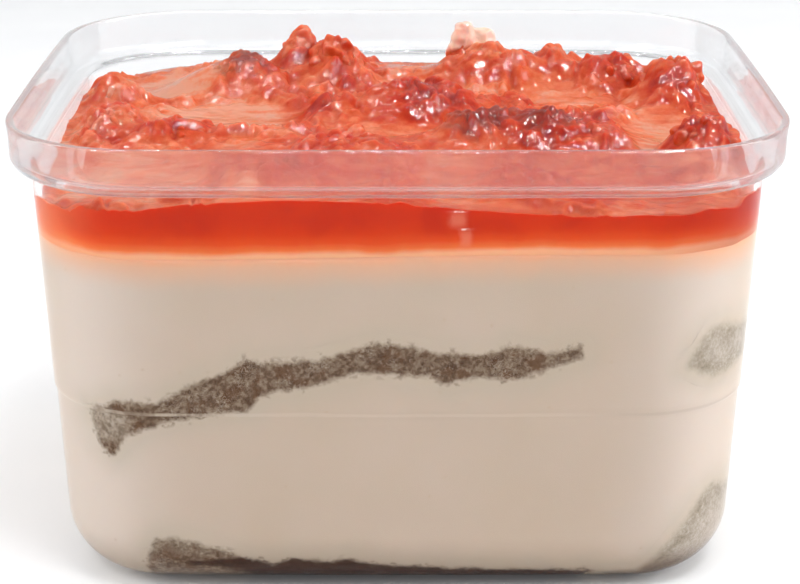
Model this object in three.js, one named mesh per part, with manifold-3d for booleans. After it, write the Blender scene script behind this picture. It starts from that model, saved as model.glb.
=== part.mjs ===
// A rose tiramisu in its clear moulded tub, in millimetres, with +Z up.
// The tub stands on its flat underside with that face's centre at the origin.
// Its long sides run along X, and the side shown in front looks towards -Y.
// From the table up it holds soaked sponge, cream with more sponge inside it, and a lumpy
// rose and strawberry jam with soft pieces of fruit sunk into its top.
import * as THREE from "three";
import { mergeVertices } from "three/addons/utils/BufferGeometryUtils.js";
import Module from "manifold-3d";

// The tub.
const RIM_WIDTH = 106;
const RIM_DEPTH = 89;
const HEIGHT = 66;
const RIM_CORNER = 19.3; // plan radius of the rim's corners
const SIDE_BOW = 0.6; // how far each side swells at its middle
const WALL = 1;
const EDGE_CHAMFER = 0.3;
const LIP_HEIGHT = 6.8; // from the rim's edge down to the crease under the lip
const LIP_OVERHANG = 3;
const LIP_LEAN = 0.4; // how far the lip's band leans in on its way down
const LIP_FILLET = 2.2;
const WALL_LEAN = 2.7; // how far a wall leans in between the crease and the table
const BASE_FILLET = 9.5;
const MARK_HEIGHT = 28.1; // a fine step that the mould leaves all round the wall
const MARK_RISE = 0.4;
const MARK_STEP = 0.25;
const CREASE = HEIGHT - LIP_HEIGHT;

// The contents.
const GAP = 0.3; // kept between pieces that touch
const CREAM_TOP = 51.2;
const JAM_TOP = 57.2;
const JAM_SKIRT = 0.5; // how far the jam climbs a piece of fruit, as a share of what stands out of it

// Each sponge is a sheet that runs back from the front wall, between an upper and a lower course
// of [x, height] points. The courses are its outline as seen from the front.
const SPONGES = [
  {
    name: "sponge_base_wide",
    alongY: [-44, 41],
    upper: [
      [-34.6, 5], [-34, 7.7], [-31, 9.1], [-26.6, 7.8], [-21, 5.8], [-17, 4.5], [-14.6, 5.7],
      [-6.6, 5.5], [-2.8, 4.3], [8, 3.6], [27, 3],
    ],
    lower: [[-34.6, -1], [27, -1]],
    seed: 1.3,
  },
  {
    name: "sponge_base_side",
    alongY: [-43, 16],
    upper: [[29.4, 2.4], [33.6, 2.9], [36.5, 7.1], [39.2, 10.6], [42, 14.6], [46.2, 13], [51, 12.6]],
    lower: [[29.4, -1], [51, -1]],
    seed: 2.9,
  },
  {
    name: "sponge_middle_wide",
    alongY: [-44, 42],
    upper: [
      [-41.6, 27.6], [-38, 29.5], [-32.4, 29.6], [-28.4, 31.8], [-22.4, 34.6], [-20.2, 36],
      [-11, 35.9], [-2.6, 38.4], [5, 36.9], [11.4, 36.8], [14.8, 38], [20, 36.9], [24.6, 37.9],
    ],
    lower: [
      [-41.6, 26], [-40.4, 22], [-38.8, 21.2], [-37, 24], [-34, 25.9], [-20.4, 28.6],
      [-18, 31.1], [-11, 32.2], [-4, 34.3], [4, 33.5], [7, 32.6], [15, 33], [19.5, 34.4], [24.6, 36.6],
    ],
    seed: 4.1,
  },
  {
    name: "sponge_middle_side",
    alongY: [-42, 14],
    upper: [[39, 35.2], [40, 37], [42.2, 39.4], [44, 39.3], [45.8, 38.5], [51, 36.4]],
    lower: [[39, 34.4], [40.7, 33.2], [43, 32.1], [45.6, 32.4], [51, 33.4]],
    seed: 5.7,
  },
];

// The pieces of fruit: where each lies, its half sizes, and the height that its top reaches.
const FRUIT = [
  { at: [-15.6, 32.2], half: [3.1, 3.6, 5.6], top: 65.6 },
  { at: [-9.4, 28.5], half: [4.7, 5, 5.8], top: 65 },
  { at: [-26, 26.5], half: [6.2, 5, 4.4], top: 62.2 },
  { at: [12, 36], half: [4, 2.3, 5.6], top: 65.6 },
  { at: [15.4, 29.6], half: [6.8, 4.6, 5], top: 63 },
  { at: [25, 31.4], half: [3.4, 3.6, 3.6], top: 61.6 },
  { at: [34, 28], half: [4.6, 4.2, 3.8], top: 61.6 },
  { at: [43.2, 20.5], half: [5, 5.8, 4.8], top: 62.8 },
  { at: [43, -13.5], half: [6, 6.2, 5.4], top: 62.8 },
  { at: [-44.6, 17], half: [4.6, 4.6, 3.8], top: 60.8 },
  { at: [-42.4, 1], half: [4.8, 5, 3.6], top: 60 },
  { at: [-32.5, -4.5], half: [5.2, 3.5, 2.8], top: 59.5 },
  { at: [-9, 8], half: [4.4, 4, 3], top: 60 },
  { at: [3.2, 11.6], half: [7, 6.4, 4.4], top: 61.2 },
  { at: [11.6, -6], half: [5.8, 5.4, 4.2], top: 61.4 },
  { at: [21.6, -6.6], half: [5.4, 5.6, 4.4], top: 61.6 },
  { at: [30, -9], half: [4, 4, 3.2], top: 60.1 },
  { at: [-6.6, -17.6], half: [6.4, 4.6, 3.2], top: 60.1 },
  { at: [-16.5, -29], half: [7, 4.8, 3.2], top: 60.2 },
  { at: [16, -31], half: [6, 4, 3], top: 59.8 },
];

// How finely the curved shapes are cut.
const CORNER_STEPS = 7;
const SIDE_STEPS = 4;
const FILLET_STEPS = 5;
const LIP_STEPS = 3;
const JAM_CELL = 3.9;
const CREAM_CELL = 12;
const SPONGE_CELL = 3.4;
const FRUIT_DETAIL = 1;

const wasm = await Module();
wasm.setup();

function solidOf(geometry) {
  const bare = geometry.clone();
  bare.deleteAttribute("normal");
  bare.deleteAttribute("uv");
  const merged = mergeVertices(bare, 1e-4);
  return new wasm.Manifold(
    new wasm.Mesh({
      numProp: 3,
      vertProperties: merged.attributes.position.array,
      triVerts: new Uint32Array(merged.index.array),
    }),
  );
}

function geometryOf(solid) {
  const mesh = solid.getMesh();
  const geometry = new THREE.BufferGeometry();
  geometry.setAttribute("position", new THREE.BufferAttribute(mesh.vertProperties, 3));
  geometry.setIndex(new THREE.BufferAttribute(mesh.triVerts, 1));
  geometry.computeVertexNormals();
  return geometry;
}

// A smooth unevenness between about -1 and 1, made of crossing waves near the given length.
function ripple(x, y, length, seed) {
  const waves = 4;
  let sum = 0;
  for (let k = 0; k < waves; k++) {
    const heading = seed + k * 2.4;
    const along = x * Math.cos(heading) + y * Math.sin(heading);
    sum += Math.sin((along * 2 * Math.PI) / (length * (1 + 0.3 * k)) + seed * (k + 1));
  }
  return (sum * 1.6) / waves;
}

// The height of a course of [x, height] points at x, eased between neighbouring points.
function heightAlong(course, x) {
  const last = course.length - 1;
  if (x <= course[0][0]) return course[0][1];
  if (x >= course[last][0]) return course[last][1];
  const next = course.findIndex(([at]) => at > x);
  const [[x0, z0], [x1, z1]] = [course[next - 1], course[next]];
  return z0 + (z1 - z0) * THREE.MathUtils.smoothstep(x, x0, x1);
}

// One outline of the rounded and slightly bowed rectangle, a distance inside the rim's own.
function outline(inset) {
  const halfX = RIM_WIDTH / 2 - SIDE_BOW - inset;
  const halfY = RIM_DEPTH / 2 - SIDE_BOW - inset;
  const radius = RIM_CORNER - inset;
  const arcEnd = (corner, turn) => {
    const [signX, signY] = [[1, -1], [1, 1], [-1, 1], [-1, -1]][corner % 4];
    return new THREE.Vector2(
      signX * (halfX - radius) + radius * Math.cos(turn),
      signY * (halfY - radius) + radius * Math.sin(turn),
    );
  };
  const points = [];
  for (let corner = 0; corner < 4; corner++) {
    const start = ((corner - 1) * Math.PI) / 2;
    const end = (corner * Math.PI) / 2;
    for (let i = 0; i < CORNER_STEPS; i++) {
      points.push(arcEnd(corner, start + ((end - start) * i) / CORNER_STEPS));
    }
    for (let i = 0; i < SIDE_STEPS; i++) {
      points.push(arcEnd(corner, end).lerp(arcEnd(corner + 1, end), i / SIDE_STEPS));
    }
  }
  return points.map(({ x, y }) => {
    const swellX = (SIDE_BOW / halfX) * (1 - (y / halfY) ** 2);
    const swellY = (SIDE_BOW / halfY) * (1 - (x / halfX) ** 2);
    return new THREE.Vector2(x * (1 + swellX), y * (1 + swellY));
  });
}

// A closed surface through outlines at the given stations, with a flat fan shutting each end.
function loft(stations) {
  const positions = [];
  const triangles = [];
  for (const { inset, z } of stations) {
    for (const { x, y } of outline(inset)) positions.push(x, y, z);
  }
  const count = outline(0).length;
  const first = positions.length / 3;
  const last = first + 1;
  positions.push(0, 0, stations[0].z, 0, 0, stations[stations.length - 1].z);
  const topRing = (stations.length - 1) * count;
  for (let i = 0; i < count; i++) {
    const j = (i + 1) % count;
    triangles.push(first, j, i, last, topRing + i, topRing + j);
    for (let ring = 0; ring < topRing; ring += count) {
      const [a, b, c, d] = [ring + i, ring + j, ring + count + j, ring + count + i];
      triangles.push(a, b, c, a, c, d);
    }
  }
  const geometry = new THREE.BufferGeometry();
  geometry.setAttribute("position", new THREE.Float32BufferAttribute(positions, 3));
  geometry.setIndex(triangles);
  geometry.computeVertexNormals();
  return geometry;
}

// Stations round part of a circle that lies in the plane of inset and height.
function bend(inset, z, radius, fromDegrees, toDegrees, steps) {
  const stations = [];
  for (let i = 0; i <= steps; i++) {
    const turn = THREE.MathUtils.degToRad(fromDegrees + ((toDegrees - fromDegrees) * i) / steps);
    stations.push({ inset: inset + radius * Math.cos(turn), z: z + radius * Math.sin(turn) });
  }
  return stations;
}

// How far the outer wall lies inside the rim's outline at a height below the crease.
function wallInset(z) {
  const mark = z < MARK_HEIGHT ? MARK_STEP : 0;
  return LIP_OVERHANG + (WALL_LEAN * (CREASE - z)) / CREASE + mark;
}

// The body from its flat base up to the crease, on a face at this depth behind the outer one.
function bodyStations(depth) {
  const filletInset = wallInset(BASE_FILLET) + BASE_FILLET;
  const stations = bend(filletInset, BASE_FILLET, BASE_FILLET - depth, -90, -180, FILLET_STEPS);
  for (const z of [MARK_HEIGHT - MARK_RISE, MARK_HEIGHT, CREASE - MARK_STEP]) {
    stations.push({ inset: wallInset(z) + depth, z });
  }
  return stations;
}

// The clear tub: one moulded shell, up its outer face, over the rim and down its inner face.
function makeTub() {
  const lipInset = LIP_LEAN + LIP_FILLET;
  const lipZ = CREASE + LIP_FILLET;
  const shoulder = LIP_OVERHANG - MARK_STEP;
  const lip = [
    ...bend(lipInset, lipZ, LIP_FILLET, -90, -180, LIP_STEPS),
    { inset: 0, z: HEIGHT - EDGE_CHAMFER },
    { inset: EDGE_CHAMFER, z: HEIGHT },
    { inset: WALL - EDGE_CHAMFER, z: HEIGHT },
    { inset: WALL, z: HEIGHT - EDGE_CHAMFER },
    ...bend(lipInset, lipZ, LIP_FILLET - WALL, -180, -90, LIP_STEPS),
    ...bend(shoulder, CREASE, WALL, 80, 20, 1),
  ];
  return solidOf(loft([...bodyStations(0), ...lip, ...bodyStations(WALL).reverse()]));
}

// All the room that the contents may take, up to the level of the rim.
function makeRoom() {
  const stations = bodyStations(WALL + GAP);
  const top = stations[stations.length - 1];
  return solidOf(loft([...stations, { inset: top.inset, z: HEIGHT }]));
}

// A block under a surface, cut into square cells and reaching well below the given floor.
function blockUnder(surface, floor, cell) {
  const [columns, rows] = [Math.round(RIM_WIDTH / cell), Math.round(RIM_DEPTH / cell)];
  const block = new THREE.BoxGeometry(RIM_WIDTH, RIM_DEPTH, 2, columns, rows, 1);
  const points = block.attributes.position;
  for (let i = 0; i < points.count; i++) {
    points.setZ(i, points.getZ(i) > 0 ? surface(points.getX(i), points.getY(i)) : floor);
  }
  return solidOf(block);
}

function creamSurface(x) {
  return CREAM_TOP + 0.5 * Math.cos(((x + 48) * 2 * Math.PI) / 140);
}

// The jam dips and swells, is heaped towards the back, and climbs each piece of fruit.
function jamSurface(x, y) {
  const frontSwell = 1.1 * Math.cos(((x + 12) * 2 * Math.PI) / 78);
  const heap = 2.4 * Math.exp(-(((x - 6) / 32) ** 4) - ((y - 31) / 8) ** 2);
  const lumps = 0.45 * ripple(x, y, 13, 2.2);
  const level = JAM_TOP + frontSwell * THREE.MathUtils.smoothstep(-y, -10, 40) + heap + lumps;
  let skirt = 0;
  for (const { at, half, top } of FRUIT) {
    const away = ((x - at[0]) / half[0]) ** 2 + ((y - at[1]) / half[1]) ** 2;
    skirt = Math.max(skirt, JAM_SKIRT * (top - JAM_TOP) * Math.exp(-0.55 * away));
  }
  return level + skirt;
}

// A sheet of sponge between its two courses, which sags unevenly on its way back.
function makeSponge({ alongY, upper, lower, seed }, grow) {
  const [fromX, toX] = [upper[0][0], upper[upper.length - 1][0]];
  const [fromY, toY] = alongY;
  const [width, depth] = [toX - fromX, toY - fromY];
  const columns = Math.round(width / SPONGE_CELL);
  const rows = Math.round(depth / SPONGE_CELL / 3);
  const sheet = new THREE.BoxGeometry(width, depth, 2, columns, rows, 1);
  const points = sheet.attributes.position;
  for (let i = 0; i < points.count; i++) {
    const x = points.getX(i) + (fromX + toX) / 2;
    const y = points.getY(i) + (fromY + toY) / 2;
    const isTop = points.getZ(i) > 0;
    const edge = isTop ? heightAlong(upper, x) + grow : heightAlong(lower, x) - grow;
    const sag = 1.2 * ripple(x, y, 46, seed) * THREE.MathUtils.smoothstep(y, fromY, 0);
    const beyondX = Math.abs(points.getX(i)) > width / 2 - 0.01 ? Math.sign(points.getX(i)) : 0;
    const beyondY = Math.abs(points.getY(i)) > depth / 2 - 0.01 ? Math.sign(points.getY(i)) : 0;
    points.setXYZ(i, x + grow * beyondX, y + grow * beyondY, edge + sag);
  }
  return solidOf(sheet);
}

// A soft lump of fruit with blunt bulges.
function makeFruit({ at, half, top }, index, grow) {
  const ball = new THREE.IcosahedronGeometry(1, FRUIT_DETAIL);
  const points = ball.attributes.position;
  const reach = half.map((size) => size + grow);
  for (let i = 0; i < points.count; i++) {
    const [u, v, w] = [points.getX(i), points.getY(i), points.getZ(i)];
    const bulge = 1 + 0.1 * Math.sin(3.1 * u + index) * Math.cos(2.7 * v - 2 * index);
    points.setXYZ(
      i,
      at[0] + reach[0] * u * bulge,
      at[1] + reach[1] * v * bulge,
      top - half[2] + reach[2] * w * bulge,
    );
  }
  return solidOf(ball);
}

function addNode(group, name, solid, material) {
  const mesh = new THREE.Mesh(geometryOf(solid), material);
  mesh.name = name;
  group.add(mesh);
}

const clearPlastic = new THREE.MeshStandardMaterial({
  color: "#f3f4f6",
  roughness: 0.04,
  metalness: 0,
  transparent: true,
  opacity: 0.28,
});
const cream = new THREE.MeshStandardMaterial({ color: "#e9d6c4", roughness: 0.55, metalness: 0 });
const sponge = new THREE.MeshStandardMaterial({ color: "#7d6753", roughness: 0.9, metalness: 0 });
const jam = new THREE.MeshStandardMaterial({ color: "#d8431f", roughness: 0.12, metalness: 0 });
const fruit = new THREE.MeshStandardMaterial({ color: "#c73a26", roughness: 0.15, metalness: 0 });

const room = makeRoom();
const sponges = SPONGES.map((spec) => makeSponge(spec, 0).intersect(room));
const spongeRoom = SPONGES.map((spec) => makeSponge(spec, GAP));
const fruitRoom = FRUIT.map((spec, index) => makeFruit(spec, index, GAP));
const fruits = FRUIT.map((spec, index) => {
  const earlier = fruitRoom.slice(0, index);
  return earlier.reduce(
    (piece, neighbour) => piece.subtract(neighbour),
    makeFruit(spec, index, 0).intersect(room),
  );
});

const creamBody = spongeRoom.reduce(
  (body, hollow) => body.subtract(hollow),
  room.intersect(blockUnder(creamSurface, -1, CREAM_CELL)),
);
const creamAndGap = blockUnder((x) => creamSurface(x) + GAP, -1, CREAM_CELL);
const jamBody = fruitRoom.reduce(
  (body, hollow) => body.subtract(hollow),
  room.intersect(blockUnder(jamSurface, CREAM_TOP - 4, JAM_CELL)).subtract(creamAndGap),
);

const dessert = new THREE.Group();
addNode(dessert, "tub", makeTub(), clearPlastic);
addNode(dessert, "cream", creamBody, cream);
SPONGES.forEach(({ name }, i) => addNode(dessert, name, sponges[i], sponge));
addNode(dessert, "jam", jamBody, jam);
fruits.forEach((solid, i) => {
  addNode(dessert, "fruit_" + String(i + 1).padStart(2, "0"), solid, fruit);
});

export default dessert;
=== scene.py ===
"""A rose tiramisu in a clear tub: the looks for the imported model, in metres, with +Z up."""

import math
from collections import namedtuple
from itertools import product

import bmesh
import bpy
import numpy as np
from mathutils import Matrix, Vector


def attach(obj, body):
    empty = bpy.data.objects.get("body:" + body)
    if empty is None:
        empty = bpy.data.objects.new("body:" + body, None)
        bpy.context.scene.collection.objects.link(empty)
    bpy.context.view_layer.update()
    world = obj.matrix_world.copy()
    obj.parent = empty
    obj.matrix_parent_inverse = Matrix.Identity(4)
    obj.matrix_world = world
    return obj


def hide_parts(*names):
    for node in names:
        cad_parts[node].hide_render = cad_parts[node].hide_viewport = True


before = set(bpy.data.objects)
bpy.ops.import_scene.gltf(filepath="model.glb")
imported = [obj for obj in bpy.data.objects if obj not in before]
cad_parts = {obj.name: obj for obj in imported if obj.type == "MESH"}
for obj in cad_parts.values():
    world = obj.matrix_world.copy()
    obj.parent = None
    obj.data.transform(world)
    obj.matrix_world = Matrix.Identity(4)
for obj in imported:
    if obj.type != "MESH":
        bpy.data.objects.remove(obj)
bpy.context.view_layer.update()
scene = bpy.context.scene

MM = 0.001

# The tub, in millimetres, as in the solid model.
RIM_WIDTH = 106.0
RIM_DEPTH = 89.0
HEIGHT = 66.0
RIM_CORNER = 19.3
SIDE_BOW = 0.6
WALL = 1.0
LIP_HEIGHT = 6.8
LIP_OVERHANG = 3.0
LIP_LEAN = 0.4
LIP_FILLET = 2.2
WALL_LEAN = 2.7
BASE_FILLET = 9.5
MARK_HEIGHT = 28.1
MARK_RISE = 0.4
MARK_STEP = 0.25
CREASE = HEIGHT - LIP_HEIGHT
CREASE_ROUND = 0.45
LIP_FACE = [(0.22, 63.2), (0.1, 64.6)]  # inset and height, between the lip's fillet and its rim
ARC_SHARE = 0.135  # the share of a side's points that each of its two half corners takes
TUB_COLUMNS = 4 * 84

# How deep each filling's skin lies behind the tub's outer face.
CREAM_DEPTH = 0.74
JAM_DEPTH = 0.66
SPONGE_DEPTH = 0.66

CREAM_TOP = 50.75
CREAM_SWING = 0.5
CREAM_HALF_WAVE = 54
CREAM_COLUMNS, CREAM_ROWS = 120, 100

HALO = 4.5  # how far from a sponge the cream over it still looks greyer
LEAST_SHEET = 1.6  # how thick a sponge is at least, where it ends against the wall
CRUMB_MARGIN = 2.2  # how far the sponge's skin runs past its outline, under loose crumbs
SUNK_MARGIN = 0.09  # how much deeper that margin lies than the sponge's face
SHEET_HEIGHT = 30.0  # the height at which a sponge's ends are measured along the wall
SHEET_SWAY = 1.2  # how far a sponge bends up and down on its way through the cream
END_TAPER, END_RUN = 2.8, 12.0  # how much a sponge at the right thins at its far end, and from where
SHARP_TURN = 30  # a sponge's edges that turn more than this many degrees aren't smoothed
SKIN_STEP = 0.5
SIDE_LENGTH = 88  # about the length of wall for each step of 1 in the place round the outline

JAM_TOP = 57.2
JAM_COLUMNS, JAM_ROWS = 310, 256
JAM_SINK = 1.2  # how far the jam's bottom lies under the cream's surface
SWELL, SWELL_LENGTH, SWELL_SHIFT = 1.1, 78, 12
HEAP = ((6, 31), (32, 8), 2.4)  # the heap along the back: middle, half sizes and height
SKIRT_FALL = 0.62  # how steeply the jam's skirt falls away from a lump
CHIP_COUNT = 640
PALE_PATCHES = [((7.8, 55.8), (1.4, 1.4)), ((8.9, 53.2), (1.0, 1.6))]  # middles and half sizes

SIDES_OF_CHUNK = 16
TALL = 5.5  # lumps with a larger half height are smoother and stand further out of the jam
THIN = 2.5  # lumps with a smaller half depth stand furthest out of it
PALE = 0.5  # lumps paler than this are the smoothest

# Each sponge: its node, the wall its face lies on, where it starts and ends along that wall, and
# its upper and lower edge there. One at the right starts at an x on the front wall and ends at a
# y on the right-hand wall.
Sponge = namedtuple("Sponge", "node wall ends upper lower")
SPONGES = [
    Sponge(
        "sponge_base_wide", "front", (-34.8, 27.0),
        upper=[
            (-34.8, 5), (-34.3, 7.6), (-33, 8.8), (-30.7, 9.1), (-26.6, 7.8), (-21.2, 5.9),
            (-17.2, 4.5), (-14.6, 5.7), (-10.4, 4.9), (-6.6, 5.6), (-2.8, 4.3), (8, 3.6), (27, 3),
        ],
        lower=[(-34.8, -6), (27, -6)],
    ),
    Sponge(
        "sponge_base_side", "right", (29.4, 16.0),
        upper=[
            (29.4, 2.4), (33.6, 2.9), (36.9, 7.1), (39.7, 10.6), (42.2, 14.2), (43.6, 15.2),
            (47.2, 12.9), (51, 12.4),
        ],
        lower=[(29.4, -6), (51, -6)],
    ),
    Sponge(
        "sponge_middle_wide", "front", (-41.6, 24.6),
        upper=[
            (-41.6, 27.6), (-38, 29.4), (-32.4, 29.5), (-28.4, 31.7), (-22.4, 34.5), (-20.2, 36),
            (-17, 35.4), (-11, 35.9), (-2.6, 38.4), (1, 38), (5, 36.9), (11.4, 36.7), (14.8, 37.9),
            (20, 36.8), (22, 37.3), (24.4, 37.9),
        ],
        lower=[
            (-41.6, 26), (-40.4, 22), (-38.8, 21.2), (-37, 24), (-34, 25.8), (-28, 27.4),
            (-20.4, 28.6), (-18.6, 30.6), (-16.6, 31.3), (-11, 32.3), (-7, 33.8), (-3.3, 34.3),
            (4, 33.5), (6.6, 32.5), (10.2, 33.5), (15, 33), (19.5, 34.4), (24.4, 36.6),
        ],
    ),
    Sponge(
        "sponge_middle_side", "right", (38.9, 14.0),
        upper=[
            (38.9, 35), (39.9, 36.9), (41, 38.5), (42.2, 39.4), (44, 39.4), (45.8, 38.6),
            (51, 36.4),
        ],
        lower=[
            (38.9, 34.4), (40.7, 33.1), (42.6, 32.2), (44.2, 32.1), (45.6, 32.4), (51, 33.4),
        ],
    ),
]

# Each lump: its middle, half sizes and top, and how red, brown and pale it is.
Fruit = namedtuple("Fruit", "place half top red brown pale", defaults=(0.0, 0.0))
FRUIT = [
    Fruit((-15.9, 32.2), (3.6, 3.8, 5.6), 65.6, 0.2, 0.0, 0.2),
    Fruit((-10.2, 28.5), (4.2, 4.8, 5.8), 65, 0.6),
    Fruit((-25.6, 26.5), (6.2, 5, 4.4), 62.2, 0.6, 0.8),
    Fruit((12, 36), (4, 2.3, 5.6), 65.6, 0.0, 0.0, 1.0),
    Fruit((15.4, 29.6), (6.8, 4.6, 5), 63, 0.2, 0.0, 0.15),
    Fruit((25, 31.4), (3.4, 3.6, 3.6), 61.6, 0.6),
    Fruit((34, 28), (4.6, 4.2, 3.8), 61.6, 0.8, 0.2),
    Fruit((43.2, 20.5), (5, 5.8, 4.8), 62.8, 0.6, 0.1, 0.1),
    Fruit((43.9, -13.5), (5, 6.2, 5.4), 62.8, 0.9, 0.4),
    Fruit((-44.6, 17), (4.6, 4.6, 3.8), 60.8, -0.5, 0.0, 0.4),
    Fruit((-42.4, 1), (4.8, 5, 3.6), 60, 0.2, 0.0, 0.1),
    Fruit((-32.5, -4.5), (5.2, 3.5, 2.8), 59.5, 0.6),
    Fruit((-9, 8), (4.4, 4, 3), 60, 0.8, 0.2),
    Fruit((3.2, 11.6), (7, 6.4, 4.4), 61.2, 0.9, 0.5),
    Fruit((11.6, -6), (5.8, 5.4, 4.2), 61.4, 0.9, 0.8),
    Fruit((21.6, -6.6), (5.4, 5.6, 4.4), 61.6, 0.9, 0.8),
    Fruit((30, -9), (4, 4, 3.2), 60.1, 0.8, 0.4),
    Fruit((-6.6, -17.6), (6.4, 4.6, 3.2), 60.1, 0.7, 0.3),
    Fruit((-16.5, -29), (7, 4.8, 3.2), 60.2, 0.6, 0.3),
    Fruit((16, -31), (6, 4, 3), 59.8, 0.5, 0.3),
]

# Long smooth mounds of jam: middle, half sizes and height.
MOUNDS = [((19.5, -7.5), (12.5, 5.6), 3.7), ((0, 10), (9, 6), 3.0), ((-28, 26), (7, 5), 3.8)]
FAN = ((44, -14.5), 6.5)  # the middle and the reach of the folds in the lump at the right

# Where the jam lies thin and smooth: middle, half sizes and strength.
THIN_JAM = [
    ((-24, 8), (11, 8), 0.9),
    ((-37, 26), (8.5, 8), 1.0),
    ((33, 17), (9, 6), 0.25),
    ((41, 0), (7, 9), 1.2),
    ((4, -2), (7, 3.5), 0.5),
    ((35.5, -8), (3.5, 5), 0.8),
    ((1, 34), (6, 5), 0.5),
    ((-38, -24), (10, 12), 0.45),
]

# The sky's strength at heights from the horizon, 0, to overhead, 1. Crests of jam mirror the
# horizon, and level jam the dimmer part above it.
SKY = [(0.0, 0.8), (0.1, 0.72), (0.22, 0.42), (0.4, 0.54), (0.75, 0.86)]

# Softboxes, in metres: place, height of the point they face, size, power, and whether wet things
# mirror them.
SOFTBOXES = {
    "top": ((0.13, -0.22, 0.58), 0.05, (0.12, 0.045), 0.84, False),
    "high": ((-0.16, -0.3, 0.5), 0.05, (0.04, 0.09), 0.4, False),
    "left": ((-0.55, -0.04, 0.28), 0.04, (0.2, 0.4), 1.3, True),
    "right": ((0.55, -0.02, 0.3), 0.04, (0.2, 0.4), 2.3, True),
}

# Strips that only show as highlights on wet things: place, size and power.
GLINTS = {
    "long_glint": ((0.1, -0.36, 0.48), (0.34, 0.024), 6.0),
    "left_glint": ((-0.3, -0.24, 0.46), (0.022, 0.24), 4.2),
    "right_glint": ((0.36, -0.2, 0.42), (0.03, 0.2), 3.0),
    "high_glint": ((0.16, -0.06, 0.6), (0.2, 0.03), 4.0),
    "back_glint": ((-0.08, 0.14, 0.56), (0.24, 0.012), 0.9),
}
GLINT_AIM = 0.05

# How light spreads under the surface of cream.
CREAM_GLOW = {"Subsurface_Scale": 0.002, "Subsurface_Radius": (1.0, 0.7, 0.5)}

# The camera, worked out from the tub's outline in the picture.
CAMERA_PLACE = (0, -0.2933, 0.1345)
CAMERA_PITCH = 19.33
CAMERA_LENS = 91.99
CAMERA_SHIFT = 0.0031


# Numbers: smooth noise and simple curves on whole arrays.


def lattice_value(ix, iy, iz, seed):
    """A repeatable value from -1 to 1 for each corner of a cubic lattice."""
    n = ix * 374761393 + iy * 668265263 + iz * 2147483647 + seed * 1274126177
    n = (n ^ (n >> 13)) * 1274126177
    n = (n ^ (n >> 16)) & 0xFFFFFF
    return n / 0x7FFFFF - 1.0


def noise(x, y, z, length, seed):
    """Smooth noise from about -1 to 1 with features about as long as the given length."""
    place = np.broadcast_arrays(*(np.asarray(c, dtype=float) / length + 1000.0 for c in (x, y, z)))
    corner = [np.floor(c).astype(np.int64) for c in place]
    part = [c - f for c, f in zip(place, corner)]
    weight = [t * t * t * (t * (t * 6 - 15) + 10) for t in part]
    total = np.zeros(place[0].shape)
    for steps in product((0, 1), repeat=3):
        wx, wy, wz = (w if step else 1 - w for w, step in zip(weight, steps))
        total += wx * wy * wz * lattice_value(*(c + step for c, step in zip(corner, steps)), seed)
    return total * 1.5


def two_octaves(x, y, z, length, seed):
    """Smooth noise with half as much noise of half the length on it."""
    return noise(x, y, z, length, seed) + 0.5 * noise(x, y, z, length / 2, seed + 17)


def ridges(x, y, z, length, seed):
    """Round lumps with crisp valleys between them, from about -0.4 to 0.6."""
    return np.abs(noise(x, y, z, length, seed)) - 0.4


def off_squared(x, y, middle, half, wider=0.0):
    """The square of how far a place lies off a middle, in half sizes of an ellipse there."""
    u = (x - middle[0]) / (half[0] + wider)
    v = (y - middle[1]) / (half[1] + wider)
    return u**2 + v**2


def ease(value, low, high):
    """0 up to low, 1 from high on, and a smooth rise between."""
    t = np.clip((value - low) / (high - low), 0.0, 1.0)
    return t * t * (3 - 2 * t)


def along(course, x):
    """The height of a course of (x, height) points at x."""
    return np.interp(x, *zip(*course))


# The tub's outline in plan, and the way its walls lean.


def outline(q, inset):
    """Points of the outline. q runs 0 to 4 round it, from the front left corner's middle."""
    q, inset = np.broadcast_arrays(np.mod(np.asarray(q, dtype=float), 4.0), inset)
    side = np.floor(q).astype(int) % 4
    share = q - np.floor(q)
    half_x = RIM_WIDTH / 2 - SIDE_BOW - inset
    half_y = RIM_DEPTH / 2 - SIDE_BOW - inset
    radius = RIM_CORNER - inset
    odd = side % 2 == 1
    reach = np.where(odd, half_y, half_x)
    across = np.where(odd, half_x, half_y)
    first = share < ARC_SHARE
    last = share > 1 - ARC_SHARE
    turn = np.where(first, share / ARC_SHARE - 1, 0) + np.where(last, (share - 1) / ARC_SHARE + 1, 0)
    turn = turn * math.pi / 4
    straight = (share - ARC_SHARE) / (1 - 2 * ARC_SHARE) * 2 - 1
    run = np.clip(straight, -1, 1) * (reach - radius) + radius * np.sin(turn)
    out = across - radius + radius * np.cos(turn)
    x = np.choose(side, [run, out, -run, -out])
    y = np.choose(side, [-out, run, out, -run])
    swell_x = 1 + SIDE_BOW / half_x * (1 - (y / half_y) ** 2)
    swell_y = 1 + SIDE_BOW / half_y * (1 - (x / half_x) ** 2)
    return x * swell_x, y * swell_y


def wall_inset(z, depth):
    """How far inside the rim's outline the wall lies at a height, at a depth behind its face."""
    z = np.minimum(np.asarray(z, dtype=float), CREASE)
    mark = MARK_STEP * (1 - ease(z, MARK_HEIGHT - MARK_RISE, MARK_HEIGHT))
    wall = LIP_OVERHANG + WALL_LEAN * (CREASE - z) / CREASE + mark + depth
    foot = LIP_OVERHANG + WALL_LEAN * (CREASE - BASE_FILLET) / CREASE + MARK_STEP + BASE_FILLET
    radius = BASE_FILLET - depth
    drop = np.clip(BASE_FILLET - z, 0, radius)
    return np.where(z < BASE_FILLET, foot - np.sqrt(radius**2 - drop**2), wall)


def q_at(place, side):
    """Where on the outline the front wall, side 0, has this x, or the right-hand wall, 1, this y."""
    q = np.linspace(side, side + 1.0, 4001)
    return float(np.interp(place, outline(q, wall_inset(SHEET_HEIGHT, WALL))[side], q))


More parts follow.
